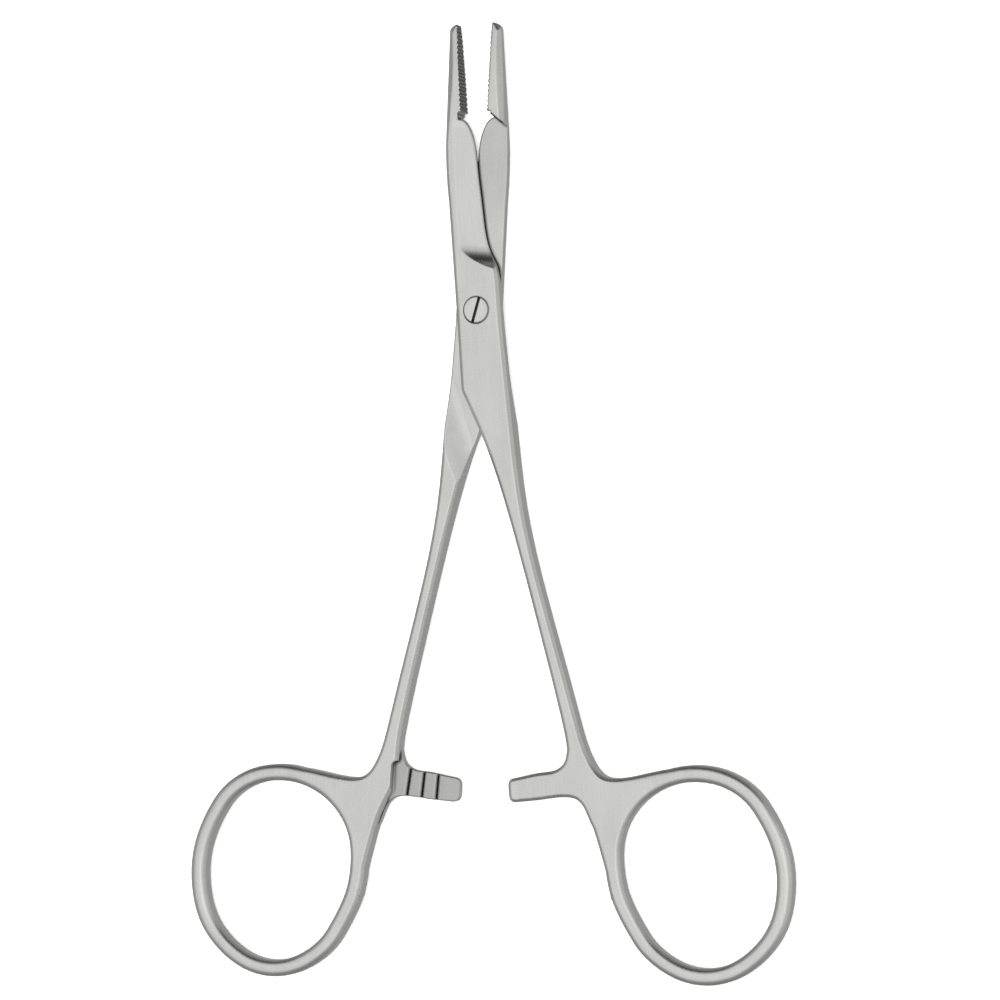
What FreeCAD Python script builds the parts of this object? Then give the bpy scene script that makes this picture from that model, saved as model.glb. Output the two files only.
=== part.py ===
import FreeCAD, Part
import math
import os

import Sketcher
from FreeCAD import Placement, Rotation, Vector

# Needle holder with suture scissors, 14 cm: two forged halves and the screw between them.
# The screw's axis is the origin of each half while it is built: jaws along +Y, rings along -Y,
# the shear plane at z = 0. Each half is drawn as it stands when the jaws meet, front side up.
# The front half is then turned open one way, and the rear half is the same forging
# rolled over about the long axis and turned open the other way.

doc = FreeCAD.newDocument("needle_holder")

# Driving dimensions, millimetres and degrees
dimensions = [
    ("opening_angle", 7.24, "angle between the halves as the part lies"),
    ("joint_thickness", 3.4, "both halves together at the screw"),
    ("lap_gap", 0.04, "air between the two lap faces"),
    ("jaw_reach", 41.8, "screw to jaw tip"),
    ("jaw_face_length", 12.9, "serrated face"),
    ("jaw_relief", 0.2, "how far the heel of the face stands back when the tips meet"),
    ("jaw_tip_width", 1.5, "tip, face to back"),
    ("jaw_tip_thickness", 1.5, "tip, front to rear"),
    ("jaw_heel_width", 2.45, "heel, face to back"),
    ("jaw_heel_thickness", 3.15, "heel, front to rear"),
    ("serration_pitch", 0.52, "between neighbouring grooves of the cross cut"),
    ("serration_depth", 0.16, "groove depth of the cross cut"),
    ("notch_depth", 0.55, "relief cut between the jaw face and the blade"),
    ("jaw_round", 1.2, "rounding of the jaw's back"),
    ("tip_bevel", 0.32, "bevel across the jaw tip"),
    ("crown_step", 1.0, "heel of the jaw face to the blade's crown"),
    ("blade_tip_lead", 1.25, "cutting edge past the middle, at the crown"),
    ("blade_root_lead", 1.85, "cutting edge past the middle, at the crescent"),
    ("sweep_length", 5.2, "foot of the hollow to where the cutting edge straightens"),
    ("blade_edge_thickness", 0.7, "land at the cutting edge"),
    ("hollow_start", 1.9, "hollow grinding starts this far from the middle"),
    ("crescent_reach", 6.1, "screw to the foot of the hollow"),
    ("wheel_radius", 4.0, "grinding wheel's edge, where the hollow runs out at the joint"),
    ("wheel_turn", 10.0, "wheel's axis from square to the blade"),
    ("run_out_radius", 7.0, "where the hollow runs out below the jaw"),
    ("shoulder_step", 0.4, "heel of the jaw face to the jaw shoulder, inner end"),
    ("shoulder_fall", 2.65, "fall of the jaw shoulder to the back"),
    ("joint_back", 3.1, "middle to the joint's edge on the jaw's side"),
    ("joint_front", 3.62, "middle to the joint's edge on the blade's side"),
    ("joint_drop", 11.4, "screw to where the tongue starts to taper"),
    ("taper_length", 6.1, "where the tongue starts to taper to the crotch"),
    ("crotch_offset", 0.84, "tongue past the middle at the crotch"),
    ("ramp_length", 4.5, "run-out of the lap into the shank"),
    ("neck_share", 0.03, "first station of the shank, as a share of the way from crotch to arm"),
    ("neck_middle", 1.96, "its middle"),
    ("neck_width", 4.48, "its width"),
    ("upper_share", 0.212, "second station"),
    ("upper_middle", 3.4, "its middle"),
    ("upper_width", 2.57, "its width"),
    ("waist_share", 0.566, "third station"),
    ("waist_middle", 6.65, "its middle"),
    ("waist_width", 1.92, "its width"),
    ("foot_share", 0.863, "fourth station, above the ratchet arm"),
    ("foot_middle", 9.55, "its middle"),
    ("foot_width", 2.25, "its width"),
    ("shank_thickness", 2.9, "shank and ring, front to rear"),
    ("edge_bevel", 0.45, "bevel along the long edges"),
    ("ring_middle", 27.02, "long axis to the ring's centre"),
    ("ring_below_arm", 16.34, "arm's upper edge to the ring's centre"),
    ("ring_span", 25.6, "ring across, bar middle to bar middle"),
    ("ring_length", 28.83, "ring lengthwise, bar middle to bar middle"),
    ("ring_bar", 2.38, "ring bar in plan"),
    ("ring_round", 0.8, "rounding of the ring bar"),
    ("arm_reach", 0.42, "ratchet arm past the middle"),
    ("arm_top_drop", 67.0, "screw to the arm's upper edge at its root"),
    ("arm_width", 4.2, "arm at its root"),
    ("arm_tip_width", 3.5, "arm at its tip"),
    ("arm_corner", 0.9, "rounded corners of the tip"),
    ("arm_bevel", 0.42, "bevel along the arm's front edge"),
    ("arm_seat", 1.45, "shank's inner side to the foot of the seat beside the arm"),
    ("arm_land", 0.12, "tooth lands past the shear plane"),
    ("tooth_angle", 2.3, "first tooth face from the long axis"),
    ("tooth_step", 1.85, "from tooth to tooth, about the screw"),
    ("tooth_depth", 0.55, "depth behind a tooth"),
    ("tooth_run", 0.6, "slope behind a tooth"),
    ("screw_head", 3.85, "head diameter"),
    ("head_height", 0.85, "head height"),
    ("head_bevel", 0.06, "bevel round the head and the end of the thread"),
    ("screw_shoulder", 2.9, "bearing diameter"),
    ("screw_thread", 2.3, "thread diameter"),
    ("slot_width", 0.45, "driver slot"),
    ("slot_depth", 0.45, "driver slot"),
    ("slot_turn", 17.0, "slot as it stopped, from the long axis"),
    ("running_clearance", 0.03, "radial play of the head and shoulder"),
    ("thread_clearance", 0.02, "radial play of the thread"),
]

sizes = doc.addObject("Spreadsheet::Sheet", "sizes")
for row, (name, value, note) in enumerate(dimensions, start=1):
    sizes.set(f"A{row}", name)
    sizes.set(f"B{row}", str(value))
    sizes.set(f"C{row}", note)
    sizes.setAlias(f"B{row}", name)
doc.recompute()


def size(name):
    return float(sizes.get(name))


def bind(feature, prop, expression):
    feature.setExpression(prop, expression)


def line(start, end):
    return Part.LineSegment(Vector(*start, 0), Vector(*end, 0))


def arc(start, middle, end):
    return Part.Arc(Vector(*start, 0), Vector(*middle, 0), Vector(*end, 0))


def curve(points):
    spline = Part.BSplineCurve()
    spline.interpolate([Vector(*point, 0) for point in points])
    return spline


def new_sketch(body, name, plane_role, geometry):
    sketch = body.newObject("Sketcher::SketchObject", name)
    plane = [item for item in body.Origin.OriginFeatures if item.Role == plane_role][0]
    sketch.AttachmentSupport = [(plane, "")]
    sketch.MapMode = "FlatFace"
    for piece in geometry:
        sketch.addGeometry(piece, False)
    return sketch


def pad_both_ways(body, name, sketch, expression):
    pad = body.newObject("PartDesign::Pad", name)
    pad.Profile = sketch
    pad.SideType = "Symmetric"
    bind(pad, "Length", expression)
    return pad


def offset_point(point, direction, distance):
    length = math.hypot(*direction)
    return (point[0] + direction[0] / length * distance, point[1] + direction[1] / length * distance)


# Anchors along the half: jaw side up, ring side down


def heel_reach():
    return size("jaw_reach") - size("jaw_face_length")


def crown_reach():
    return heel_reach() - size("crown_step")


def kink_point():
    return (-size("joint_back") - 0.1, -size("joint_drop"))


def crotch_point():
    return (-size("crotch_offset"), -size("joint_drop") - size("taper_length"))


def mirrored(point):
    return (-point[0], point[1])


def station(name, side):
    crotch = crotch_point()[1]
    down = (-size("arm_top_drop") - crotch) * size(name + "_share")
    return (size(name + "_middle") + side * size(name + "_width") / 2, crotch + down)


# Plan of a half, from the jaw tip round the blade side to the ring and back up the outer side


def ring_points():
    middle = size("ring_middle")
    across = size("ring_span") / 2
    along = size("ring_length") / 2
    drop = -size("arm_top_drop") - size("ring_below_arm")
    # An oval whose lower inner quarter is drawn in, as the finger leaves room for it
    shares = [(1.0, -0.04), (0.745, -0.70), (0.03, -1.0), (-0.6, -0.735), (-0.81, -0.44),
              (-0.955, -0.08), (-0.83, 0.62), (-0.1, 1.0), (0.62, 0.8), (0.875, 0.46)]
    return [(middle + across * share[0], drop + along * share[1]) for share in shares]


def ring_arcs(offset):
    # Tangent arcs round the oval, two from each point to the next, moved out by the offset
    points = [Vector(*point, 0) for point in ring_points()]
    count = len(points)
    headings = []
    for number in range(count):
        before = points[number] - points[number - 1]
        after = points[(number + 1) % count] - points[number]
        share = after.Length / (before.Length + after.Length)
        headings.append((before.normalize() * share + after.normalize() * (1 - share)).normalize())
    arcs = []
    for number in range(count):
        start = points[number]
        end = points[(number + 1) % count]
        heading = headings[number]
        last = headings[(number + 1) % count]
        chord = end - start
        lean = 2 * (1 - heading.dot(last))
        pull = chord.dot(heading + last)
        reach = (-pull + math.sqrt(pull * pull + lean * chord.dot(chord))) / lean
        knot = (start + heading * reach + end - last * reach) / 2
        for near, far, turn in ((start, knot, heading), (end, knot, last)):
            side = Vector(-turn.y, turn.x, 0)
            radius = (far - near).dot(far - near) / (2 * (far - near).dot(side))
            centre = near + side * radius
            grow = 1 + offset / (centre - near).Length
            ends = [centre + (near - centre) * grow, centre + (far - centre) * grow]
            between = (ends[0] + ends[1]) / 2 - centre
            middle = centre + between.normalize() * (ends[0] - centre).Length
            if near is end:
                ends.reverse()
            arcs.append(arc((ends[0].x, ends[0].y), (middle.x, middle.y), (ends[1].x, ends[1].y)))
    return arcs


def plan_outline():
    reach = size("jaw_reach")
    heel = heel_reach()
    relief = -size("jaw_relief")
    tip_back = -size("jaw_tip_width")
    heel_back = relief - size("jaw_heel_width")
    notch = relief - size("notch_depth")
    crown = crown_reach()
    lead = size("blade_tip_lead")
    root_lead = size("blade_root_lead")
    foot = size("crescent_reach")
    root = foot + size("sweep_length")
    front = size("joint_front")
    back = -size("joint_back")
    kink = kink_point()
    crotch = crotch_point()
    arm_root = -size("arm_top_drop")
    shank = station("foot", -1)[0]
    shank_front = station("foot", 1)[0]
    ring = ring_points()
    ring_side = ring[5]
    ring_top = ring[7]
    half_bar = size("ring_bar") / 2
    web_end = (ring_top[0] + 0.4, ring_top[1] + half_bar - 0.42)
    flank_end = (ring_side[0] - half_bar + 0.3, ring_side[1] - 1.6)
    face_end = (relief, heel)
    notch_top = (notch, heel - 0.35)
    notch_foot = (notch, crown + 0.2)
    jaw_end = (tip_back, reach - 1.5)
    blade_front = [notch_foot, (lead - 1.1, crown - 0.42), (lead - 0.56, crown - 1.38), (lead - 0.08, crown - 3.2)]
    edge_front = [(lead - 0.08 + (root_lead - lead + 0.08) * share, crown - 3.2 + (root - crown + 3.2) * share)
                  for share in (0.33, 0.67, 1.0)]
    sweep = [(root_lead + 0.3, root - 2.0), (root_lead + 0.9, root - 3.8), (front - 0.26, foot - 0.1),
             (front - 0.02, foot - 2.1)]
    joint_front = [(front, 0.0), (front + 0.2, kink[1] * 0.66)]
    shank_line = [station(name, 1) for name in ("neck", "upper", "waist", "foot")]
    web = [(shank_front + 1.68, arm_root + 0.8), (shank_front + 3.4, arm_root - 1.45),
           (shank_front + 6.3, arm_root - 1.88), (shank_front + 10.3, arm_root - 1.38), web_end]
    flank = [flank_end, (flank_end[0] - 0.17, ring_side[1]), (ring_side[0] - 1.3, ring_side[1] + 1.9),
             (ring_side[0] - 1.95, ring_side[1] + 5.1), (ring_side[0] - 2.7, ring_side[1] + 8.3),
             (shank + 2.45, arm_root - 5.7), (shank + 1.05, arm_root - 2.5), (shank + 0.52, arm_root + 1.2),
             (shank + 0.4, arm_root + 3.8)]
    shank_back = [station(name, -1) for name in ("foot", "waist", "upper")]
    taper = [(crotch[0] * -0.67, crotch[1] - 4.4), crotch,
             ((crotch[0] + kink[0]) / 2, (crotch[1] + kink[1]) / 2), kink]
    jaw_back = [(back, heel * 0.55), (back + 0.18, heel - 3.3), (heel_back, heel),
                (tip_back - 0.4, reach - 5.2), jaw_end]
    return [
        line((0.0, reach - 0.2), face_end),
        arc(face_end, (notch + 0.12, heel + 0.02), notch_top),
        line(notch_top, notch_foot),
        curve(blade_front + edge_front + sweep + joint_front + shank_line + web),
        line(web_end, ring_top),
        *ring_arcs(0.0)[10:14],
        line(ring_side, flank_end),
        curve(flank + shank_back + taper),
        line(kink, (back, 0.0)),
        line((back, 0.0), jaw_back[0]),
        curve(jaw_back),
        arc(jaw_end, (tip_back + 0.42, reach - 0.38), (-0.3, reach)),
        arc((-0.3, reach), (-0.09, reach - 0.06), (0.0, reach - 0.2)),
    ]


def side_outline(side):
    # What lies outside the half's side view, on one side of the shear plane (y and z)
    tip = side * size("jaw_tip_thickness") / 2
    heel = side * size("jaw_heel_thickness") / 2
    joint = side * size("joint_thickness") / 2
    shank = side * size("shank_thickness") / 2
    reach = size("jaw_reach")
    heel_top = heel_reach()
    clear = side * 4.0
    start = (reach + 1.0, tip)
    joint_top = (heel_top * 0.48, joint)
    joint_foot = (station("neck", 1)[1], joint)
    shank_top = (station("waist", 1)[1], shank)
    end = (-size("arm_top_drop") - size("ring_below_arm") - 8.0, shank)
    return [
        curve([start, (reach - 2.5, tip + (heel - tip) * 0.42), (heel_top, heel), joint_top]),
        line(joint_top, joint_foot),
        curve([joint_foot, (station("upper", 1)[1], joint - (joint - shank) * 0.55), shank_top]),
        line(shank_top, end),
        line(end, (end[0], clear)),
        line((end[0], clear), (start[0], clear)),
        line((start[0], clear), start),
    ]


def lap_outline():
    # What the other half's tongue and blade take up, on the rear side of this one
    shoulder_in = (-0.71, heel_reach() - size("shoulder_step"))
    shoulder_out = (-4.2, shoulder_in[1] - size("shoulder_fall"))
    tongue_top = mirrored(kink_point())
    tongue_foot = mirrored(crotch_point())
    down = (tongue_foot[0] - tongue_top[0], tongue_foot[1] - tongue_top[1])
    beyond_top = offset_point(tongue_top, down, -6.0)
    beyond_foot = offset_point(tongue_foot, down, 6.0)
    corners = [(2.5, shoulder_in[1]), shoulder_in, shoulder_out, (-8.0, shoulder_out[1]),
               (-8.0, beyond_foot[1]), beyond_foot, beyond_top, (8.0, beyond_top[1])]
    return [line(corners[i], corners[(i + 1) % len(corners)]) for i in range(len(corners))]


def aim_sketch(sketch, point, across):
    # Stands a sketch of the XZ plane upright by a point, its horizontal axis along the given direction,
    # far enough out that a cut one way passes the whole body
    upright = Rotation(Vector(1, 0, 0), 90)
    turn = Rotation(Vector(0, 0, 1), math.degrees(math.atan2(across[1], across[0])))
    offset = upright.inverted() * turn * upright
    length = math.hypot(*across)
    out = Vector(across[1] / length, -across[0] / length, 0) * 80.0
    sketch.AttachmentOffset = Placement(upright.inverted().multVec(Vector(*point, 0) + out), offset)


def edges_where(shape, wanted):
    names = []
    for number, edge in enumerate(shape.Edges, start=1):
        middle = edge.valueAt((edge.FirstParameter + edge.LastParameter) / 2)
        if wanted(middle, edge):
            names.append(f"Edge{number}")
    return names


def pocket_through(body, name, sketch, upward=False):
    pocket = body.newObject("PartDesign::Pocket", name)
    pocket.Profile = sketch
    pocket.Type = "ThroughAll"
    pocket.Reversed = upward
    return pocket


def circle_sketch(body, name, diameter, height="-sizes.joint_thickness"):
    circle = Part.Circle(Vector(0, 0, 0), Vector(0, 0, 1), 1.0)
    sketch = new_sketch(body, name, "XY_Plane", [circle])
    sketch.addConstraint(Sketcher.Constraint("Coincident", 0, 3, -1, 1))
    sketch.addConstraint(Sketcher.Constraint("Diameter", 0, 2.0))
    sketch.renameConstraint(1, "bore")
    bind(sketch, "Constraints.bore", diameter)
    bind(sketch, "AttachmentOffset.Base.z", height)
    return sketch


def bevel_long_edges(body, label):
    def on_long_side(middle, edge):
        flank = edge.Length > 1.0 and abs(edge.tangentAt(edge.FirstParameter).y) > 0.3
        in_ring = middle.y < ring_points()[7][1] and middle.x > ring_points()[5][0] - 0.5
        jaw_face = middle.x > -1.0 and middle.y > crown_reach()
        tip = middle.y > size("jaw_reach") - 1.5
        return abs(middle.z) > 0.5 and flank and not (in_ring or jaw_face or tip)

    base = body.Tip
    bevel = body.newObject("PartDesign::Chamfer", label + "_bevel")
    bevel.Base = (base, edges_where(base.Shape, on_long_side))
    bind(bevel, "Size", "sizes.edge_bevel")
    doc.recompute()


def cut_lap(body, label):
    lap = new_sketch(body, label + "_lap", "XY_Plane", lap_outline())
    bind(lap, "AttachmentOffset.Base.z", "sizes.lap_gap / 2")
    pocket_through(body, label + "_lap_recess", lap)
    level = size("lap_gap") / 2
    deep = -size("joint_thickness") / 2
    run = size("ramp_length")
    profile = [
        curve([(0.0, level), (run * 0.3, deep * 0.25), (run * 0.65, deep * 0.72), (run, deep * 1.08)]),
        line((run, deep * 1.08), (run, deep * 2)),
        line((run, deep * 2), (-1.0, deep * 2)),
        line((-1.0, deep * 2), (-1.0, level)),
        line((-1.0, level), (0.0, level)),
    ]
    ramp = new_sketch(body, label + "_ramp", "XZ_Plane", profile)
    top = mirrored(kink_point())
    foot = mirrored(crotch_point())
    aim_sketch(ramp, foot, (top[1] - foot[1], foot[0] - top[0]))
    pocket_through(body, label + "_run_out", ramp)
    doc.recompute()


def stand_square(sketch, point, along, away):
    # Turns a sketch square to a line: its vertical axis away from the part, the line through its origin
    away = (away - along * away.dot(along)).normalize()
    sketch.AttachmentOffset = Placement(point, Rotation(away.cross(along), away, along, "ZXY"))


def round_jaw(body, label):
    # The jaw's back is rounded over on both sides, and its tip is bevelled across
    radius = size("jaw_round")
    bevel = size("tip_bevel")
    tip_half = size("jaw_tip_thickness") / 2
    heel_half = size("jaw_heel_thickness") / 2
    reach = size("jaw_reach")
    for side, word in ((1, "front"), (-1, "rear")):
        foot = Vector(-size("jaw_relief") - size("jaw_heel_width"), heel_reach(), side * (heel_half + 0.08))
        high = Vector(-size("jaw_tip_width") - 0.15, reach - 2.5, side * (tip_half + 0.08))
        high.z = high.z + (foot.z - high.z) * 0.42
        along = (foot - high).normalize()
        ends = [(side * (radius + 0.12), 0.03), (side * radius * 0.293, -radius * 0.293),
                (-side * 0.03, -radius - 0.12)]
        outer = (-side * 3.0, ends[2][1])
        top = (-side * 3.0, 3.0)
        inner = (ends[0][0], 3.0)
        outline = [arc(*ends), line(ends[2], outer), line(outer, top), line(top, inner), line(inner, ends[0])]
        sketch = new_sketch(body, f"{label}_{word}_jaw_round", "XY_Plane", outline)
        stand_square(sketch, foot - along * (reach - heel_reach() + 5.0), along, Vector(0, 0, side))
        pocket_through(body, f"{label}_{word}_jaw_back", sketch, upward=True)
        face_side = Vector(-0.3, reach, side * (tip_half + 0.12))
        back_side = Vector(-size("jaw_tip_width"), reach - 1.5, side * (tip_half + 0.12))
        along = (back_side - face_side).normalize()
        corners = [(side * bevel, 0.15), (-side * bevel, -bevel * 1.2), (-side * 2.0, -bevel * 1.2),
                   (-side * 2.0, 1.5), (side * bevel, 1.5)]
        outline = [line(corners[i], corners[(i + 1) % 5]) for i in range(5)]
        sketch = new_sketch(body, f"{label}_{word}_tip_bevel", "XY_Plane", outline)
        stand_square(sketch, face_side - along * 4.0, along, Vector(0, 0, side))
        pocket_through(body, f"{label}_{word}_tip", sketch, upward=True)
    doc.recompute()


def grind_blade(body, label):
    # The blade's front is ground down towards the cutting edge: flat along the blade, running out
    # in the wheel's own curve at the joint, which leaves a crescent, and in a wide one below the jaw
    start = size("hollow_start")
    half = size("joint_thickness") / 2
    fall = (half - size("blade_edge_thickness")) / (start + size("blade_tip_lead"))
    slope = math.atan(fall)
    turn = math.radians(size("wheel_turn"))
    wheel = size("wheel_radius")
    wide = size("run_out_radius")
    width = start + size("blade_root_lead")
    deep = width * fall
    low = size("crescent_reach") + math.sqrt(2 * wheel * deep - deep * deep) + width * math.tan(turn)
    high = crown_reach() - 1.5
    rise = half * 1.4

    def on_arc(centre, radius, side, share):
        angle = math.acos(1 - rise / radius) * share
        return (centre + side * radius * math.sin(angle), radius - radius * math.cos(angle))

    foot = [on_arc(low, wheel, -1, share) for share in (1.0, 0.5)] + [(low, 0.0)]
    head = [(high, 0.0)] + [on_arc(high, wide, 1, share) for share in (0.5, 1.0)]
    top = [(head[-1][0], rise * 2), (foot[0][0], rise * 2)]
    outline = [arc(*foot), line(foot[-1], head[0]), arc(*head), line(head[-1], top[0]),
               line(top[0], top[1]), line(top[1], foot[0])]
    sketch = new_sketch(body, label + "_blade_face", "XY_Plane", outline)
    across = Vector(math.cos(slope) * math.cos(turn), -math.sin(turn), -math.sin(slope) * math.cos(turn))
    away = Vector(math.sin(slope), 0, math.cos(slope))
    stand_square(sketch, Vector(-start, 0, half) - across * 20.0, across, away)
    pocket_through(body, label + "_grind", sketch, upward=True)
    doc.recompute()


def cut_arm_seat(body, label):
    # Beside the arm's root the shank is cut back to the level of the tooth lands
    shank = station("foot", -1)[0]
    inner = shank + size("arm_seat")
    top = -size("arm_top_drop") + 1.0
    foot = top - size("arm_width") - 1.4
    corner = size("arm_corner")
    share = corner * (1 - math.sqrt(0.5))
    outline = [
        line((shank - 1.5, top), (inner - corner, top)),
        arc((inner - corner, top), (inner - share, top - share), (inner, top - corner)),
        line((inner, top - corner), (inner, foot)),
        line((inner, foot), (shank - 1.5, foot)),
        line((shank - 1.5, foot), (shank - 1.5, top)),
    ]
    sketch = new_sketch(body, label + "_seat_plan", "XY_Plane", outline)
    bind(sketch, "AttachmentOffset.Base.z", "-sizes.arm_land")
    pocket_through(body, label + "_arm_seat", sketch)
    doc.recompute()


def make_ring(label):
    ring = doc.addObject("PartDesign::Body", label + "_ring")
    half_bar = size("ring_bar") / 2
    sides = ring_arcs(half_bar) + ring_arcs(-half_bar)
    sketch = new_sketch(ring, label + "_ring_plan", "XY_Plane", sides)
    pad = pad_both_ways(ring, label + "_ring_bar", sketch, "sizes.shank_thickness")
    doc.recompute()
    # Bar edges rounded off in three flats that touch an arc of the rounding's radius
    first = ring.newObject("PartDesign::Chamfer", label + "_ring_first_flat")
    first.Base = (pad, edges_where(pad.Shape, lambda middle, edge: abs(middle.z) > 0.1))
    bind(first, "Size", "sizes.ring_round * 0.586")
    doc.recompute()
    second = ring.newObject("PartDesign::Chamfer", label + "_ring_side_flats")
    second.Base = (first, edges_where(first.Shape, lambda middle, edge: edge.Length > 1.0))
    bind(second, "Size", "sizes.ring_round * 0.215")
    doc.recompute()
    return ring


def arm_outline():
    # One curve from inside the shank, out along the arm, round its tip and back into the flank
    tip = -size("arm_reach")
    top = -size("arm_top_drop")
    bottom = top - size("arm_width")
    corner = size("arm_corner")
    share = corner * (1 - math.sqrt(0.5))
    tip_top = bottom - 0.2 + size("arm_tip_width")
    tip_foot = bottom - 0.2
    shank = station("foot", -1)[0]

    def upper(distance):
        return (tip + distance, tip_top + (top - tip_top) * (distance - corner) / (shank - 1.2 - tip - corner))

    def lower(distance):
        return (tip + distance, tip_foot + 0.3 * (distance - corner) / (shank - 0.1 - tip - corner))

    begin = (shank + 0.8, top + 3.8)
    end = (shank + 3.95, bottom - 5.2)
    inside = (end[0], top - 1.6)
    points = [begin, (shank + 0.35, top + 2.1), (shank - 0.1, top + 0.9), (shank - 1.2, top),
              upper(5.0), upper(2.4), upper(corner + 0.5), upper(corner), (tip + share, tip_top - share),
              (tip, tip_top - corner), (tip, (tip_top + tip_foot) / 2), (tip, tip_foot + corner),
              (tip + share, tip_foot + share), lower(corner), lower(corner + 0.5), lower(2.4), lower(5.0),
              lower(shank - 0.1 - tip), (shank + 1.3, bottom - 0.3), (shank + 2.15, bottom - 1.15),
              (shank + 2.65, bottom - 2.2), (shank + 3.08, bottom - 3.4), end]
    return [curve(points), line(end, inside), line(inside, begin)]


def make_arm(label):
    arm = doc.addObject("PartDesign::Body", label + "_arm")
    sketch = new_sketch(arm, label + "_arm_plan", "XY_Plane", arm_outline())
    pad = arm.newObject("PartDesign::Pad", label + "_arm_bar")
    pad.Profile = sketch
    pad.SideType = "Two sides"
    bind(pad, "Length", "sizes.shank_thickness / 2")
    bind(pad, "Length2", "sizes.arm_land")
    doc.recompute()
    bevel = arm.newObject("PartDesign::Chamfer", label + "_arm_bevel")
    bevel.Base = (pad, edges_where(pad.Shape, lambda middle, edge: middle.z > 0.5 and edge.Length > 15.0))
    bind(bevel, "Size", "sizes.arm_bevel")
    doc.recompute()
    land = -size("arm_land")
    tip = -size("arm_reach")
    lead_in = [
        line((tip - 1.0, land - 1.0), (tip + 2.2, land - 1.0)),
        line((tip + 2.2, land - 1.0), (tip + 2.2, land)),
        line((tip + 2.2, land), (tip - 1.0, 0.5)),
        line((tip - 1.0, 0.5), (tip - 1.0, land - 1.0)),
    ]
    slope = new_sketch(arm, label + "_lead_in", "XZ_Plane", lead_in)
    aim_sketch(slope, (0.0, 0.0), (1.0, 0.0))
    pocket_through(arm, label + "_lead_in_cut", slope)
    # One sawtooth groove: a steep face towards the ring side and a slope behind it
    depth = size("tooth_depth")
    run = size("tooth_run")
    groove = [
        line((0.0, land - 1.0), (run, land - 1.0)),
        line((run, land - 1.0), (run, land)),
        line((run, land), (0.0, land + depth)),
        line((0.0, land + depth), (0.0, land - 1.0)),
    ]
    tooth = new_sketch(arm, label + "_tooth", "XZ_Plane", groove)
    angle = math.radians(size("tooth_angle"))
    aim_sketch(tooth, (0.0, 0.0), (math.cos(angle), math.sin(angle)))
    cut = pocket_through(arm, label + "_tooth_cut", tooth)
    doc.recompute()
    pattern = arm.newObject("PartDesign::PolarPattern", label + "_teeth")
    pattern.Originals = [cut]
    pivot = [item for item in arm.Origin.OriginFeatures if item.Role == "Z_Axis"][0]
    pattern.Axis = (pivot, [""])
    pattern.Occurrences = 3
    bind(pattern, "Angle", "2 * sizes.tooth_step")
    arm.Tip = pattern
    doc.recompute()
    return arm


def serration_cutter(label):
    # Two families of V grooves crossing at right angles on the jaw face
    reach = size("jaw_reach")
    length = size("jaw_face_length")
    depth = size("serration_depth")
    heel = Vector(-size("jaw_relief"), reach - length, 0)
    along = (Vector(0, reach, 0) - heel).normalize()
    outward = Vector(along.y, -along.x, 0)
    half_height = size("jaw_heel_thickness") / 2 + 0.3
    spacing = size("serration_pitch") * math.sqrt(2)
    grooves = []
    for lean in (1, -1):
        direction = (along + Vector(0, 0, lean)).normalize()
        across = direction.cross(outward)
        count = int((length + 2 * half_height) / spacing) + 1
        for number in range(count):
            low = heel + along * (number * spacing - 2 * half_height) - Vector(0, 0, lean * half_height)
            travel = 2 * half_height * math.sqrt(2)
            begin = max(0.0, (0.35 - (low - heel).dot(along)) * math.sqrt(2))
            if begin > travel - 0.3:
                continue
            start = low + direction * begin
            corners = [start - outward * depth, start + outward * depth + across * depth * 2,
                       start + outward * depth - across * depth * 2]
            section = Part.Face(Part.makePolygon(corners + [corners[0]]))
            grooves.append(section.extrude(direction * (travel - begin)))
    cutter = doc.addObject("Part::Feature", label + "_serration_cutter")
    cutter.Shape = Part.makeCompound(grooves)
    return cutter


def seat_screw(body, label, counterbored):
    if counterbored:
        bore = circle_sketch(body, label + "_bearing", "sizes.screw_shoulder + 2 * sizes.running_clearance")
        pocket_through(body, label + "_bearing_hole", bore, upward=True)
        floor = "sizes.joint_thickness / 2 - sizes.head_height - sizes.lap_gap"
        recess = circle_sketch(body, label + "_head_recess",
                               "sizes.screw_head + 2 * sizes.running_clearance", floor)
        pocket_through(body, label + "_counterbore", recess, upward=True)
    else:
        bore = circle_sketch(body, label + "_thread", "sizes.screw_thread + 2 * sizes.thread_clearance")
        pocket_through(body, label + "_thread_hole", bore, upward=True)
    doc.recompute()


def make_half(label, counterbored):
    body = doc.addObject("PartDesign::Body", label + "_forging")
    plan = new_sketch(body, label + "_plan", "XY_Plane", plan_outline())
    pad_both_ways(body, label + "_blank", plan, "sizes.joint_thickness + 0.4")
    for side, word in ((1, "front"), (-1, "rear")):
        sketch = new_sketch(body, f"{label}_{word}_side", "YZ_Plane", side_outline(side))
        sketch.AttachmentOffset = Placement(Vector(0, 0, 60), Rotation())
        pocket_through(body, f"{label}_{word}_slope", sketch)
    doc.recompute()
    bevel_long_edges(body, label)
    round_jaw(body, label)
    cut_lap(body, label)
    grind_blade(body, label)
    cut_arm_seat(body, label)
    seat_screw(body, label, counterbored)
    ring = make_ring(label)
    arm = make_arm(label)
    whole = doc.addObject("Part::MultiFuse", label + "_whole")
    whole.Shapes = [body, ring, arm]
    whole.Refine = True
    doc.recompute()
    cutter = serration_cutter(label)
    half = doc.addObject("Part::Cut", label)
    half.Base = whole
    half.Tool = cutter
    half.Refine = True
    doc.recompute()
    return half


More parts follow.
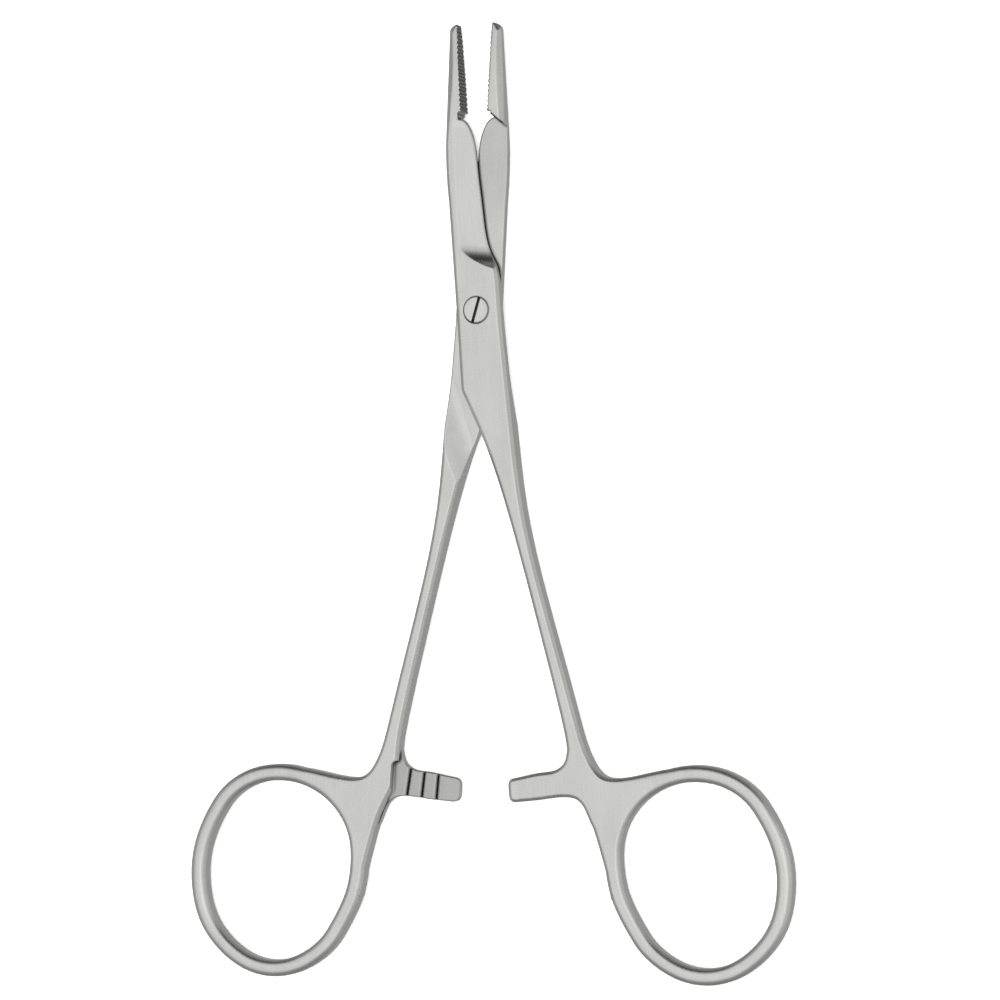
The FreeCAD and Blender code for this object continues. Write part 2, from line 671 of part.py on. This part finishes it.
def make_screw():
    top = size("joint_thickness") / 2
    seat = -size("lap_gap") / 2
    under_head = top - size("head_height")
    head = size("screw_head") / 2
    shoulder = size("screw_shoulder") / 2
    thread = size("screw_thread") / 2
    bevel = size("head_bevel")
    end = -top + 2 * bevel
    corners = [(0.0, top), (head - bevel, top), (head, top - bevel), (head, under_head),
               (shoulder, under_head), (shoulder, seat), (thread, seat), (thread, end + bevel),
               (thread - bevel, end), (0.0, end)]
    body = doc.addObject("PartDesign::Body", "pivot_screw")
    outline = [line(corners[i], corners[(i + 1) % len(corners)]) for i in range(len(corners))]
    profile = new_sketch(body, "screw_profile", "XZ_Plane", outline)
    turned = body.newObject("PartDesign::Revolution", "screw_turned")
    turned.Profile = profile
    turned.ReferenceAxis = (profile, ["V_Axis"])
    half_slot = size("slot_width") / 2
    bottom = top - size("slot_depth")
    corners = [(-half_slot, bottom), (half_slot, bottom), (half_slot, top + 1), (-half_slot, top + 1)]
    outline = [line(corners[i], corners[(i + 1) % 4]) for i in range(4)]
    slot = new_sketch(body, "driver_slot", "XZ_Plane", outline)
    turn = math.radians(-size("slot_turn"))
    aim_sketch(slot, (0.0, 0.0), (math.cos(turn), math.sin(turn)))
    pocket_through(body, "driver_slot_cut", slot)
    doc.recompute()
    return body


front = make_half("front_half", True)
rear = make_half("rear_half", False)
screw = make_screw()

# The halves open about the screw, the rear one rolled over; the part then stands in its own frame:
# middle of its length and width at the origin, lying on the plane z = 0
half_opening = size("opening_angle") / 2
axis = Vector(0, 0, 1)
rolled = Rotation(Vector(0, 1, 0), 180)
front.Placement = Placement(Vector(0, 0, 0), Rotation(axis, half_opening))
rear.Placement = Placement(Vector(0, 0, 0), Rotation(axis, -half_opening) * rolled)
boxes = [item.Shape.optimalBoundingBox(False) for item in (front, rear)]
middle = (min(box.YMin for box in boxes) + max(box.YMax for box in boxes)) / 2
pivot = Vector(0, -middle, size("joint_thickness") / 2)
for item in (front, rear, screw):
    item.Placement = Placement(pivot, item.Placement.Rotation)
doc.recompute()

faults = [item.Name for item in doc.Objects if "Invalid" in item.State or "Error" in item.State]
for item in (front, rear, screw):
    if item.Shape.isNull() or not item.Shape.isValid() or len(item.Shape.Solids) != 1:
        faults.append(item.Label)
if faults:
    raise RuntimeError(f"faulty objects: {faults}")

os.makedirs("parts", exist_ok=True)
for item in (front, rear, screw):
    item.Shape.exportStep(f"parts/{item.Label}.step")
    box = item.Shape.optimalBoundingBox(False)
    print(item.Label, round(item.Shape.Volume, 2), [round(value, 3) for value in
          (box.XMin, box.YMin, box.ZMin, box.XMax, box.YMax, box.ZMax)])
print("pivot", round(pivot.y, 4), round(pivot.z, 4))
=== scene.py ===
import bpy
import math
from mathutils import Matrix, Vector


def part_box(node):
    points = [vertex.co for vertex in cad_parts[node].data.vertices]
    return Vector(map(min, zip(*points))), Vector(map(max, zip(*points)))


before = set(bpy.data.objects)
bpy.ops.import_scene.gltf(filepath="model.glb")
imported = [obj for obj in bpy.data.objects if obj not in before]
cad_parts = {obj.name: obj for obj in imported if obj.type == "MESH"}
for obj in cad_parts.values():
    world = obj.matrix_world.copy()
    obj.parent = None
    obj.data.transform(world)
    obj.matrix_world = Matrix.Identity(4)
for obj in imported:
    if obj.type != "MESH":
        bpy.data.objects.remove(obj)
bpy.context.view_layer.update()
mm = 0.001

screwLow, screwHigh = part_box("pivot_screw")
screwMiddle = Vector(((screwLow.x + screwHigh.x) / 2, (screwLow.y + screwHigh.y) / 2, screwHigh.z / 2))
print("frame loaded, screw at", [round(v / mm, 2) for v in screwMiddle])


# small helpers for node trees

def addNode(tree, kind, **settings):
    node = tree.nodes.new(kind)
    for name, value in settings.items():
        setattr(node, name, value)
    return node


def combine(tree, kind, first, second, clamp=False):
    # first and second are sockets or plain numbers
    node = addNode(tree, "ShaderNodeMath", operation=kind, use_clamp=clamp)
    for slot, value in enumerate((first, second)):
        if isinstance(value, (int, float)):
            node.inputs[slot].default_value = value
        else:
            tree.links.new(value, node.inputs[slot])
    return node.outputs[0]


def product(tree, first, *others):
    for other in others:
        first = combine(tree, "MULTIPLY", first, other)
    return first


def blend(tree, first, firstShare, second, secondShare, clamp=False):
    # so much of one and so much of the other
    first = combine(tree, "MULTIPLY", first, firstShare)
    second = combine(tree, "MULTIPLY", second, secondShare)
    return combine(tree, "ADD", first, second, clamp)


def between(tree, share, first, second):
    # first where share is 0, second where it is 1
    step = combine(tree, "MULTIPLY", share, combine(tree, "SUBTRACT", second, first))
    return combine(tree, "ADD", first, step)


def spread(tree, value, low, high, fromLow=0.3, fromHigh=0.7, smooth=False):
    # the standard start and end are those of a noise
    node = addNode(tree, "ShaderNodeMapRange")
    node.interpolation_type = "SMOOTHSTEP" if smooth else "LINEAR"
    node.inputs["From Min"].default_value = fromLow
    node.inputs["From Max"].default_value = fromHigh
    node.inputs["To Min"].default_value = low
    node.inputs["To Max"].default_value = high
    tree.links.new(value, node.inputs["Value"])
    return node.outputs["Result"]


def rising(tree, value, start, end, smooth=False):
    # 0 up to start, 1 from end on
    return spread(tree, value, 0.0, 1.0, start, end, smooth)


def falling(tree, value, start, end, smooth=False):
    # 1 up to start, 0 from end on
    return spread(tree, value, 1.0, 0.0, start, end, smooth)


def within(tree, value, rise, fall):
    # 1 from the end of the rise to the start of the fall
    return product(tree, falling(tree, value, *fall), rising(tree, value, *rise))


def noiseAt(tree, place, stretch, detail, roughness):
    # stretch is the size of one grain along x, y and z
    mapping = addNode(tree, "ShaderNodeMapping")
    mapping.inputs["Scale"].default_value = tuple(1 / s for s in stretch)
    tree.links.new(place, mapping.inputs["Vector"])
    noise = addNode(tree, "ShaderNodeTexNoise")
    noise.inputs["Scale"].default_value = 1.0
    noise.inputs["Detail"].default_value = detail
    noise.inputs["Roughness"].default_value = roughness
    tree.links.new(mapping.outputs["Vector"], noise.inputs["Vector"])
    return noise.outputs["Fac"]


def paintedCornerShade(tree, normal, finish):
    # painted shade: 1 deep in corners and slots, 0 on open faces
    shelter = addNode(tree, "ShaderNodeAmbientOcclusion", samples=finish["creaseSamples"])
    shelter.inputs["Distance"].default_value = finish["creaseReach"]
    tree.links.new(normal, shelter.inputs["Normal"])
    return falling(tree, shelter.outputs["AO"], *finish["creaseOpen"])


def dot(tree, vector, other):
    # other is a socket or a fixed direction
    node = addNode(tree, "ShaderNodeVectorMath", operation="DOT_PRODUCT")
    tree.links.new(vector, node.inputs[0])
    if isinstance(other, tuple):
        node.inputs[1].default_value = other
    else:
        tree.links.new(other, node.inputs[1])
    return node.outputs["Value"]


def axes(tree, vector):
    split = addNode(tree, "ShaderNodeSeparateXYZ")
    tree.links.new(vector, split.inputs[0])
    return split.outputs


def mixColour(tree, share, first, second):
    # first is a socket or a colour, second is a colour
    node = addNode(tree, "ShaderNodeMix", data_type="RGBA")
    if isinstance(first, tuple):
        node.inputs["A"].default_value = (*first, 1)
    else:
        tree.links.new(first, node.inputs["A"])
    node.inputs["B"].default_value = (*second, 1)
    tree.links.new(share, node.inputs["Factor"])
    return node.outputs["Result"]


def newSteel(name):
    material = bpy.data.materials.new(name)
    material.use_nodes = True
    shader = material.node_tree.nodes["Principled BSDF"]
    shader.inputs["Metallic"].default_value = 1.0
    return material, material.node_tree, shader


def addBump(tree, shader, height, softNormal, strength, depth):
    bump = addNode(tree, "ShaderNodeBump")
    bump.inputs["Strength"].default_value = strength
    bump.inputs["Distance"].default_value = depth
    tree.links.new(height, bump.inputs["Height"])
    tree.links.new(softNormal, bump.inputs["Normal"])
    tree.links.new(bump.outputs["Normal"], shader.inputs["Normal"])


def dress(name, material):
    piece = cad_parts[name]
    for slot in piece.material_slots:
        slot.material = material
    print("finish on", name)


# the two forged halves: satin steel, brushed lengthwise
# places are in the part's own frame, with the screw's axis at x = 0 and the jaws towards +y
# a pair is where a change starts and where it ends

halfFinish = {
    "turn": {"front_half": 3.62, "rear_half": -3.62},    # how far each half stands open, degrees
    "dark": (0.56, 0.56, 0.545),
    "light": (0.68, 0.68, 0.665),
    "edge": (0.74, 0.74, 0.73),
    "paintedShadeColour": (0.06, 0.058, 0.054),

    # grains: size along x, y and z, then detail and roughness
    "brushing": ((0.09 * mm, 5.0 * mm, 0.09 * mm), 3.0, 0.6),
    "blasting": ((0.16 * mm, 0.16 * mm, 0.16 * mm), 3.0, 0.7),
    "cloud": ((3.5 * mm, 9.0 * mm, 3.5 * mm), 3.0, 0.6),
    "scratch": ((0.05 * mm, 2.2 * mm, 0.6 * mm), 1.0, 0.4),
    "scratchFrom": (0.66, 0.72),
    "brushShare": 0.55,
    "blastShare": 0.45,
    "grainShare": 0.65,           # of the shade from dark to light
    "cloudShare": 0.35,
    "shadeFrom": (0.38, 0.62),

    # broken edges, softer on the finger rings, lighter as rubbed steel and as a painted highlight
    "edgeWidth": 0.4 * mm,
    "ringEdgeWidth": 1.1 * mm,
    "ringFrom": (17 * mm, 22 * mm),
    "edgeSamples": 8,
    "wornMeeting": (0.86, 0.995),    # cosine between the soft normal and the face's own
    "wornPatches": (0.45, 1.0),      # least and most worn

    # gloss
    "satin": 0.28,
    "ringSatin": 0.22,            # the finger rings are rubbed smoother
    "polished": 0.06,             # how much smoother the worn edges are
    "grainSatin": 0.05,
    "cloudSatin": 0.03,
    "scratchShine": 0.06,
    "bump": 0.35,
    "bumpDepth": 0.004 * mm,
    "scratchDepth": 0.25,

    # painted shade in corners and slots
    "creaseReach": 0.55 * mm,
    "creaseOpen": (0.58, 0.98),   # share of the open sky: darkest at the first, unshaded at the second
    "creaseSamples": 8,
    "seatCrease": 0.25,           # less of it on the step beside the rear half's arm
    "seatLeft": (-14.2 * mm, -13.9 * mm),
    "seatRise": (-44.0 * mm, -43.0 * mm),
    "seatFall": (-35.0 * mm, -34.5 * mm),

    # the cross-cut gripping faces: painted shade in stripes along their grooves, where a face looks at the
    # other jaw
    "gripDark": 0.85,
    "gripPitch": 0.5 * mm,
    "gripRidges": (0.45, 1.15),   # weakest and strongest along the ridges
    "gripFrom": (54.5 * mm, 55.0 * mm),
    "gripFacing": (0.35, 0.6),    # how squarely a face looks at the other jaw
    "gripSide": {"front_half": 1.0, "rear_half": -1.0},

    # painted shadow line where the rear jaw's shoulder meets its blade
    "shoulderAcross": (0.6538, 0.7567, 0.0),
    "shoulderAt": 44.09 * mm,
    "shoulderFade": (0.12 * mm, 0.3 * mm),
    "shoulderFacing": (0.3, 0.6),

    # the ground lands of the rear half's ratchet arm are a shade darker, and its sloped tip darker still as
    # painted shade
    "land": 0.755,
    "tipShade": 0.66,              # painted shade on its sloped tip beyond the last tooth
    "landLevel": (2.6 * mm, 2.7 * mm),
    "landFacing": (0.6, 0.8),
    "landRise": (-45.5 * mm, -45.0 * mm),
    "landFall": (-37.0 * mm, -36.5 * mm),
    "tipFacing": (0.985, 0.995),

    # painted shade on the scissor blades: the front one's hollow, which leans, and the rear one's face, which
    # is flat, are a shade darker
    "blade": {"front_half": 0.92, "rear_half": 0.89},
    "bladeFacingRise": {"front_half": (0.80, 0.88), "rear_half": (0.95, 0.97)},
    "bladeFacingFall": {"front_half": (0.95, 0.97), "rear_half": (1.9, 2.0)},
    "bladeRise": {"front_half": (33.0 * mm, 35.0 * mm), "rear_half": (38.0 * mm, 45.0 * mm)},
    "bladeFall": (55.5 * mm, 56.5 * mm),
    "bladeLevel": (1.75 * mm, 1.85 * mm),
}


def gripGrooveShade(tree, half, finish, place, across, facing):
    inward = product(tree, facing["X"], finish["gripSide"][half])
    ridges = addNode(tree, "ShaderNodeTexWave", bands_direction="Y", wave_profile="TRI")
    # a wave of scale 1 turns 20 radians in a metre
    ridges.inputs["Scale"].default_value = math.pi / (finish["gripPitch"] * 10)
    tree.links.new(place, ridges.inputs["Vector"])
    return product(tree, spread(tree, inward, 0.0, finish["gripDark"], *finish["gripFacing"]),
                   rising(tree, across["Y"], *finish["gripFrom"]),
                   spread(tree, ridges.outputs["Fac"], *finish["gripRidges"], 0.0, 1.0))


def seatTone(tree, finish, spot):
    return product(tree, falling(tree, spot["X"], *finish["seatLeft"]),
                   within(tree, spot["Y"], finish["seatRise"], finish["seatFall"]))


def shoulderShadowLine(tree, finish, plain, facing):
    reach = dot(tree, plain, finish["shoulderAcross"])
    away = combine(tree, "ABSOLUTE", combine(tree, "SUBTRACT", reach, finish["shoulderAt"]), 0.0)
    return product(tree, falling(tree, away, *finish["shoulderFade"]),
                   rising(tree, facing["Z"], *finish["shoulderFacing"]))


def landToneAndTipShade(tree, finish, spot, facing):
    land = product(tree, falling(tree, spot["Z"], *finish["landLevel"]),
                   rising(tree, facing["Z"], *finish["landFacing"]),
                   within(tree, spot["Y"], finish["landRise"], finish["landFall"]))
    # painted shade on the sloped tip, by how far it leans
    tone = spread(tree, facing["Z"], finish["tipShade"], finish["land"], *finish["tipFacing"])
    return between(tree, land, 1.0, tone)


def bladeTone(tree, half, finish, spot, facing):
    # painted shade on the blade faces, picked by how they lean
    lean = within(tree, facing["Z"], finish["bladeFacingRise"][half], finish["bladeFacingFall"][half])
    blade = product(tree, lean,
                    rising(tree, spot["Y"], *finish["bladeRise"][half], smooth=True),
                    falling(tree, spot["Y"], *finish["bladeFall"]))
    if half == "rear_half":
        blade = product(tree, blade, falling(tree, spot["Z"], *finish["bladeLevel"]))
    return between(tree, blade, 1.0, finish["blade"][half])


def satinSteel(half, finish):
    material, tree, shader = newSteel(half + "_satin")
    plain = addNode(tree, "ShaderNodeTexCoord").outputs["Object"]
    along = addNode(tree, "ShaderNodeMapping")   # the grain follows the half
    along.inputs["Rotation"].default_value = (0, 0, math.radians(-finish["turn"][half]))
    tree.links.new(plain, along.inputs["Vector"])
    place = along.outputs["Vector"]
    spot = axes(tree, plain)
    across = axes(tree, place)
    surface = addNode(tree, "ShaderNodeNewGeometry").outputs["Normal"]
    facing = axes(tree, surface)

    brushing = noiseAt(tree, place, *finish["brushing"])
    blasting = noiseAt(tree, place, *finish["blasting"])
    cloud = noiseAt(tree, place, *finish["cloud"])
    scratches = rising(tree, noiseAt(tree, place, *finish["scratch"]), *finish["scratchFrom"])
    grain = blend(tree, brushing, finish["brushShare"], blasting, finish["blastShare"])

    fromMiddle = combine(tree, "ABSOLUTE", across["X"], 0.0)
    softEdge = addNode(tree, "ShaderNodeBevel", samples=finish["edgeSamples"])
    width = spread(tree, fromMiddle, finish["edgeWidth"], finish["ringEdgeWidth"], *finish["ringFrom"])
    tree.links.new(width, softEdge.inputs["Radius"])
    softNormal = softEdge.outputs["Normal"]
    # worn edges: smoother, and lighter partly as rubbed steel and partly as a painted highlight
    wornAndHighlight = falling(tree, dot(tree, softNormal, surface), *finish["wornMeeting"])
    wornAndHighlight = combine(tree, "MULTIPLY", wornAndHighlight, spread(tree, cloud, *finish["wornPatches"]), clamp=True)

    share = blend(tree, grain, finish["grainShare"], cloud, finish["cloudShare"], clamp=True)
    colour = mixColour(tree, rising(tree, share, *finish["shadeFrom"]), finish["dark"], finish["light"])
    colour = mixColour(tree, wornAndHighlight, colour, finish["edge"])
    # the lands' darker tone, with the painted shade on the arm's tip and on the blades
    toneAndShadeScale = addNode(tree, "ShaderNodeVectorMath", operation="SCALE")
    tone = product(tree, landToneAndTipShade(tree, finish, spot, facing), bladeTone(tree, half, finish, spot, facing))
    tree.links.new(colour, toneAndShadeScale.inputs[0])
    tree.links.new(tone, toneAndShadeScale.inputs["Scale"])

    # painted shade in corners and slots, less of it on the step beside the rear half's arm
    paintedShadeShare = paintedCornerShade(tree, surface, finish)
    if half == "rear_half":
        paintedShadeShare = product(tree, paintedShadeShare, between(tree, seatTone(tree, finish, spot), 1.0, finish["seatCrease"]))
    # painted shade along the grooves of the gripping faces
    paintedShadeShare = combine(tree, "MAXIMUM", paintedShadeShare, gripGrooveShade(tree, half, finish, place, across, facing))
    # painted shadow line along the rear jaw's shoulder
    if half == "rear_half":
        paintedShadeShare = combine(tree, "MAXIMUM", paintedShadeShare, shoulderShadowLine(tree, finish, plain, facing))
    colour = mixColour(tree, paintedShadeShare, toneAndShadeScale.outputs["Vector"], finish["paintedShadeColour"])
    tree.links.new(colour, shader.inputs["Base Color"])

    rough = spread(tree, fromMiddle, finish["satin"], finish["ringSatin"], *finish["ringFrom"])
    rough = combine(tree, "ADD", rough, spread(tree, grain, -finish["grainSatin"], finish["grainSatin"]))
    rough = combine(tree, "ADD", rough, spread(tree, cloud, -finish["cloudSatin"], finish["cloudSatin"]))
    rough = combine(tree, "SUBTRACT", rough, product(tree, wornAndHighlight, finish["polished"]))
    rough = combine(tree, "SUBTRACT", rough, product(tree, scratches, finish["scratchShine"]))
    tree.links.new(rough, shader.inputs["Roughness"])

    height = combine(tree, "SUBTRACT", grain, product(tree, scratches, finish["scratchDepth"]))
    addBump(tree, shader, height, softNormal, finish["bump"], finish["bumpDepth"])
    return material


for half in halfFinish["turn"]:
    dress(half, satinSteel(half, halfFinish))


# the pivot screw: face turned on a lathe, so its grain runs round

screwFinish = {
    "dark": (0.60, 0.60, 0.585),
    "light": (0.78, 0.78, 0.765),
    "paintedShadeColour": (0.055, 0.055, 0.05),
    "radius": (screwHigh.x - screwLow.x) / 2,
    "rimShadeStrength": 0.55,
    "rimInner": 0.26 * mm,        # the painted shade at the rim starts this far from the edge
    "rimOuter": 0.104 * mm,       # and is full this far from it
    "creaseReach": 0.6 * mm,
    "creaseOpen": (0.5, 0.9),
    "creaseSamples": 8,
    "ringPitch": 0.11 * mm,
    "ringWaver": 0.6,
    "ringDetail": 2.0,
    "speck": ((0.14 * mm, 0.14 * mm, 0.14 * mm), 3.0, 0.7),
    "ringShare": 0.12,
    "speckShare": 0.8,
    "shadeFrom": (0.25, 0.75),
    "satin": (0.27, 0.38),        # from the smoothest grain to the roughest
    "edgeWidth": 0.05 * mm,
    "edgeSamples": 4,
    "bump": 0.3,
    "bumpDepth": 0.004 * mm,
}


def turnedSteel(name, finish):
    material, tree, shader = newSteel(name)
    place = addNode(tree, "ShaderNodeTexCoord").outputs["Object"]
    centred = addNode(tree, "ShaderNodeVectorMath", operation="SUBTRACT")
    centred.inputs[1].default_value = (screwMiddle.x, screwMiddle.y, 0)
    tree.links.new(place, centred.inputs[0])
    rings = addNode(tree, "ShaderNodeTexWave", wave_type="RINGS", rings_direction="Z")
    rings.inputs["Scale"].default_value = 1 / (finish["ringPitch"] * 20)
    rings.inputs["Distortion"].default_value = finish["ringWaver"]
    rings.inputs["Detail"].default_value = finish["ringDetail"]
    tree.links.new(centred.outputs["Vector"], rings.inputs["Vector"])
    specks = noiseAt(tree, place, *finish["speck"])
    grain = blend(tree, rings.outputs["Fac"], finish["ringShare"], specks, finish["speckShare"])
    shade = mixColour(tree, rising(tree, grain, *finish["shadeFrom"]), finish["dark"], finish["light"])

    flatten = addNode(tree, "ShaderNodeVectorMath", operation="MULTIPLY")
    flatten.inputs[1].default_value = (1, 1, 0)
    tree.links.new(centred.outputs["Vector"], flatten.inputs[0])
    fromAxis = addNode(tree, "ShaderNodeVectorMath", operation="LENGTH")
    tree.links.new(flatten.outputs["Vector"], fromAxis.inputs[0])
    # painted shade: a dark ring just inside the head's edge
    rimShade = spread(tree, fromAxis.outputs["Value"], 0.0, finish["rimShadeStrength"],
                 finish["radius"] - finish["rimInner"], finish["radius"] - finish["rimOuter"])
    surface = addNode(tree, "ShaderNodeNewGeometry").outputs["Normal"]
    # painted shade in corners and slots
    paintedShadeShare = paintedCornerShade(tree, surface, finish)
    colour = mixColour(tree, combine(tree, "MAXIMUM", paintedShadeShare, rimShade), shade, finish["paintedShadeColour"])
    tree.links.new(colour, shader.inputs["Base Color"])
    tree.links.new(spread(tree, grain, *finish["satin"]), shader.inputs["Roughness"])

    softEdge = addNode(tree, "ShaderNodeBevel", samples=finish["edgeSamples"])
    softEdge.inputs["Radius"].default_value = finish["edgeWidth"]
    addBump(tree, shader, grain, softEdge.outputs["Normal"], finish["bump"], finish["bumpDepth"])
    return material


dress("pivot_screw", turnedSteel("pivot_screw_turned", screwFinish))


# the floor: pale, a hair below the part

floorLook = {
    "width": 3.0,
    "drop": 0.02 * mm,
    "grey": 0.9,
    "lift": 0.35,
}


def makeFloor(look):
    half = look["width"] / 2
    corners = [(-half, -half, 0), (half, -half, 0), (half, half, 0), (-half, half, 0)]
    mesh = bpy.data.meshes.new("floor")
    mesh.from_pydata(corners, [], [(0, 1, 2, 3)])
    floor = bpy.data.objects.new("floor", mesh)
    bpy.context.scene.collection.objects.link(floor)
    floor.location.z = -look["drop"]
    material = bpy.data.materials.new("pale_floor")
    material.use_nodes = True
    shader = material.node_tree.nodes["Principled BSDF"]
    shader.inputs["Base Color"].default_value = (look["grey"], look["grey"], look["grey"], 1)
    shader.inputs["Roughness"].default_value = 1.0
    shader.inputs["Specular IOR Level"].default_value = 0.0
    shader.inputs["Emission Color"].default_value = (1, 1, 1, 1)
    shader.inputs["Emission Strength"].default_value = look["lift"]
    mesh.materials.append(material)
    floor.visible_glossy = False   # the steel sees the dark of the studio below, as on a glass table


makeFloor(floorLook)
print("floor laid")


# light: a soft white tent, brighter on the right, with a dark card beyond the jaws
# a pair is where a change starts and where it ends, as a direction's height or cosine

tent = {
    "overhead": 1.0,       # brightness straight above
    "overheadFrom": (0.56, 0.96),
    "side": 0.42,          # level with the table
    "sideRight": 0.3,      # how much brighter on the right
    "below": 0.45,         # what the steel sees of the table
    "belowFrom": (-0.1, -0.8),
    "strip": 0.3,          # a brighter strip light right of overhead
    "stripAt": (0.12, 0.0, 0.993),
    "stripFrom": (0.965, 0.998),
    "nearShade": 0.32,     # the side of the finger rings is a little darker
    "nearFrom": (-0.9, -0.3),
    "farShade": 0.35,      # the side of the jaws more so
    "farFrom": (0.3, 0.9),
    "card": 0.96,          # and it holds a dark card halfway up
    "cardFar": (0.44, 0.8),
    "cardUp": (0.08, 0.4),
}

lampLook = {
    "size": 1.6,
    "place": (0.15, 0.1, 1.5),
    "power": 28.0,
}


def makeTent(look):
    world = bpy.data.worlds.new("studio")
    bpy.context.scene.world = world
    world.use_nodes = True
    tree = world.node_tree
    tree.nodes.clear()
    direction = addNode(tree, "ShaderNodeTexCoord").outputs["Generated"]
    right, far, up = axes(tree, direction)

    side = combine(tree, "MULTIPLY", combine(tree, "MAXIMUM", right, 0.0), look["sideRight"])
    side = combine(tree, "ADD", side, look["side"])
    value = between(tree, rising(tree, up, *look["overheadFrom"], smooth=True), side, look["overhead"])
    value = between(tree, rising(tree, up, *look["belowFrom"], smooth=True), value, look["below"])
    towards = dot(tree, direction, look["stripAt"])
    strip = spread(tree, towards, 0.0, look["strip"], *look["stripFrom"], smooth=True)
    value = combine(tree, "ADD", value, strip)
    near = spread(tree, far, 1.0 - look["nearShade"], 1.0, *look["nearFrom"], smooth=True)
    beyond = spread(tree, far, 1.0, 1.0 - look["farShade"], *look["farFrom"], smooth=True)
    card = product(tree, rising(tree, far, *look["cardFar"], smooth=True),
                   spread(tree, up, 0.0, look["card"], *look["cardUp"], smooth=True))
    value = product(tree, value, near, beyond, combine(tree, "SUBTRACT", 1.0, card))
    background = addNode(tree, "ShaderNodeBackground")
    tree.links.new(value, background.inputs["Color"])
    output = addNode(tree, "ShaderNodeOutputWorld")
    tree.links.new(background.outputs["Background"], output.inputs["Surface"])


def makeLamp(look):
    lamp = bpy.data.lights.new("soft_lamp", "AREA")
    lamp.shape = "SQUARE"
    lamp.size = look["size"]
    lamp.energy = look["power"]
    holder = bpy.data.objects.new("soft_lamp", lamp)
    holder.location = look["place"]
    holder.visible_glossy = False
    bpy.context.scene.collection.objects.link(holder)


makeTent(tent)
makeLamp(lampLook)
bpy.context.scene.view_settings.view_transform = "Standard"
print("light set")


# camera: above the part and a little to its right

cameraPlace = {
    "distance": 600 * mm,
    "acrossTilt": 19.823,   # turned about the part's long axis, degrees
    "lengthTilt": -1.339,
    "roll": 0.663,
    "aside": (-2.623 * mm, 0.238 * mm),
    "aimAboveScrew": -27.28 * mm,
    "lens": 148.97,
    "sensor": 36.0,
    "clipStart": 0.01,
}


def makeCamera(place):
    camera = bpy.data.cameras.new("camera")
    camera.lens = place["lens"]
    camera.sensor_width = place["sensor"]
    camera.clip_start = place["clipStart"]
    holder = bpy.data.objects.new("camera", camera)
    bpy.context.scene.collection.objects.link(holder)
    view = (Matrix.Rotation(math.radians(place["roll"]), 3, "Z")
            @ Matrix.Rotation(math.radians(place["lengthTilt"]), 3, "X")
            @ Matrix.Rotation(math.radians(-place["acrossTilt"]), 3, "Y"))
    away = Vector((*place["aside"], -place["distance"]))
    middle = screwMiddle + Vector((0, place["aimAboveScrew"], 0))
    holder.matrix_world = Matrix.Translation(middle - view.transposed() @ away) @ view.transposed().to_4x4()
    bpy.context.scene.camera = holder


makeCamera(cameraPlace)
print("camera placed")
